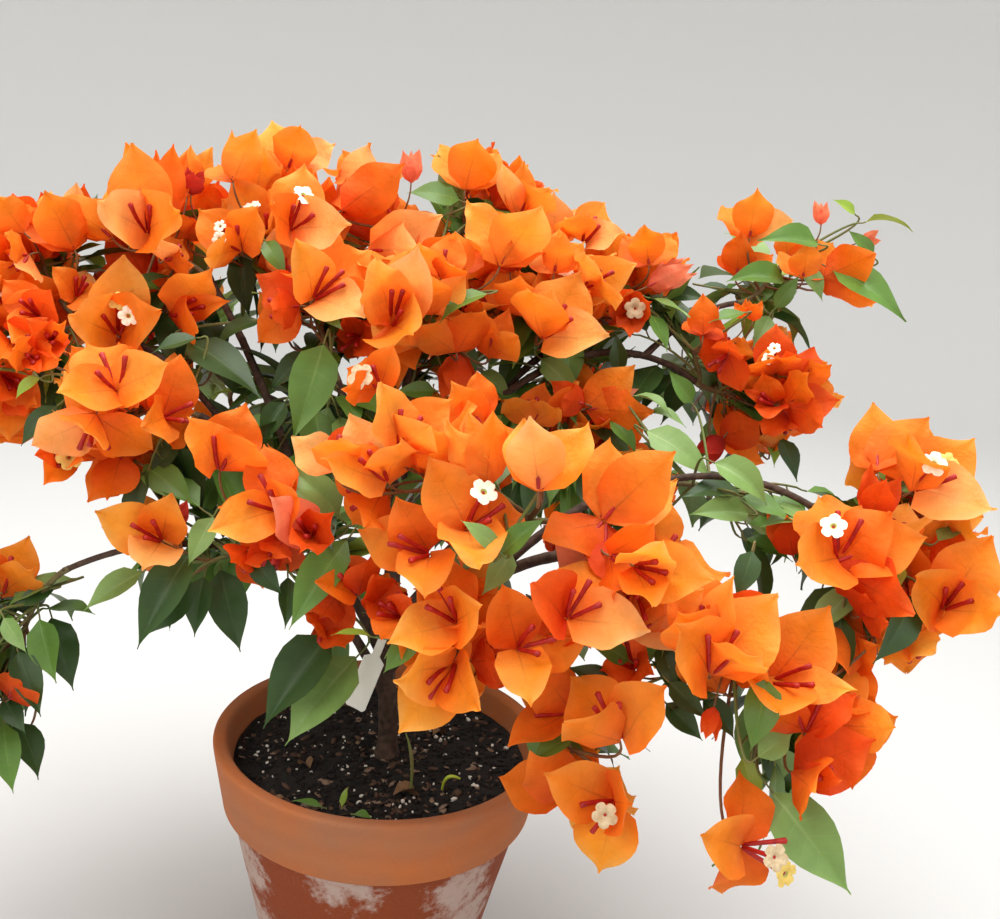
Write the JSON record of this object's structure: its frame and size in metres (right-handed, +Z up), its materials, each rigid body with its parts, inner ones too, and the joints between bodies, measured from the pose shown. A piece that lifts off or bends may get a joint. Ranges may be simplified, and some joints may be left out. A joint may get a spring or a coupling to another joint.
{
  "type": "potted bougainvillea bush",
  "caption": "Orange bougainvillea bush in a terracotta pot: a short woody trunk forks into arching boughs that end in loose sprays of papery bracts and leaves.",
  "frame": {"origin": "the centre of the pot's flat underside", "axes": "+X to the right in the picture, +Y away from its viewer, +Z up"},
  "size_m": [0.6262, 0.3823, 0.534],
  "materials": {
    "terracotta": "unglazed matt",
    "potting_mix": "loose and matt",
    "bark": "rough bark",
    "bracts": "papery",
    "leaves": "satin",
    "plastic": "matt"
  },
  "bodies": {
    "root": {"pot": "terracotta", "soil": "potting_mix", "label": "plastic", "trunk": "bark", "bough_front": "bark", "bough_top_centre": "bark", "bough_left": "bark", "bough_right_low": "bark", "bough_back": "bark", "bough_left_front": "bark", "bough_front_low": "bark", "bough_right": "bark", "bough_far_right": "bark", "bough_left_drooping": "bark", "bough_far_left": "bark", "bough_left_top": "bark", "bough_centre_left": "bark", "bough_top_right": "bark", "bough_upper_right": "bark", "bough_long_upper_right": "bark", "bough_back_left": "bark", "bough_back_right": "bark", "mass_front_centre_left": "bracts", "mass_front_centre": "bracts", "mass_front_right_shoulder": "bracts", "mass_front_low_left": "bracts", "mass_front_low_mid": "bracts", "mass_front_low_right": "bracts", "mass_right_low": "bracts", "mass_right_low_far": "bracts", "mass_right_hanging": "leaves", "mass_right_tip_low": "bracts", "mass_right_tip": "bracts", "mass_right_leaf_spray": "leaves", "mass_left_front": "leaves", "mass_left_low": "leaves", "mass_left_hanging": "leaves", "mass_left_shoulder": "bracts", "mass_far_left": "bracts", "mass_far_left_top": "bracts", "mass_left_top": "bracts", "mass_crown_top_left": "bracts", "mass_crown_mid_left": "bracts", "mass_centre_leaves": "leaves", "mass_crown_centre": "bracts", "mass_crown_top_mid": "bracts", "mass_crown_top_right": "bracts", "mass_crown_right": "bracts", "mass_crown_right_far": "bracts", "mass_centre_back": "bracts", "mass_right_upper_leaves": "leaves", "mass_right_mid": "bracts", "mass_back_far_right": "bracts", "mass_upper_right_spray": "bracts", "mass_back_centre": "bracts", "mass_back_low_centre": "bracts", "mass_back_left": "bracts", "mass_back_low_left": "bracts", "mass_back_right": "bracts", "mass_back_low_right": "bracts"}
  },
  "joints": []
}
